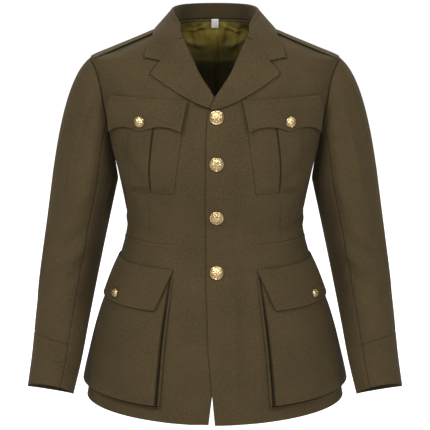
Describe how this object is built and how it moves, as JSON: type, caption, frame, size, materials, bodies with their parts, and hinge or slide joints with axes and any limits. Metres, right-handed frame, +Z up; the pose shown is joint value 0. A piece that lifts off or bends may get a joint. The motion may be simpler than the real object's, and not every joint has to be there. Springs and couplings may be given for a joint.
{
  "type": "service dress jacket",
  "caption": "Single-breasted service dress jacket with notched lapels, pleated chest pockets, bellows skirt pockets, shoulder straps and gilt buttons, filled out as if worn.",
  "frame": {"origin": "centre of the neck, at the height of the shoulder seams' neck ends, where the wearer's shoulders hold the jacket up", "axes": "+Z up along the body, the front faces -Y, +X towards the wearer's left side"},
  "size_m": [0.73, 0.3128, 0.7728],
  "materials": {
    "cloth": "olive-brown wool barathea, matt with a faint sheen",
    "lining": "olive-gold satin lining",
    "label": "white woven tape, blank",
    "gilt": "polished gilt with plain low relief"
  },
  "bodies": {
    "root": {"back_left": "cloth", "back_right": "cloth", "button_chest_left": "gilt", "button_chest_right": "gilt", "button_front_1": "gilt", "button_front_2": "gilt", "button_front_3": "gilt", "button_front_4": "gilt", "button_lower_left": "gilt", "button_lower_right": "gilt", "chest_flap_left": "cloth", "chest_flap_right": "cloth", "chest_pocket_left": "cloth", "chest_pocket_right": "cloth", "collar": "cloth", "cuff_left": "cloth", "cuff_right": "cloth", "front_left": "cloth", "front_right": "cloth", "lapel_left": "cloth", "lapel_right": "cloth", "lining_back": "lining", "lower_flap_left": "cloth", "lower_flap_right": "cloth", "lower_pocket_left": "cloth", "lower_pocket_right": "cloth", "shoulder_strap_left": "cloth", "shoulder_strap_right": "cloth", "size_label": "label", "top_sleeve_left": "cloth", "top_sleeve_right": "cloth", "under_sleeve_left": "cloth", "under_sleeve_right": "cloth"}
  },
  "joints": []
}
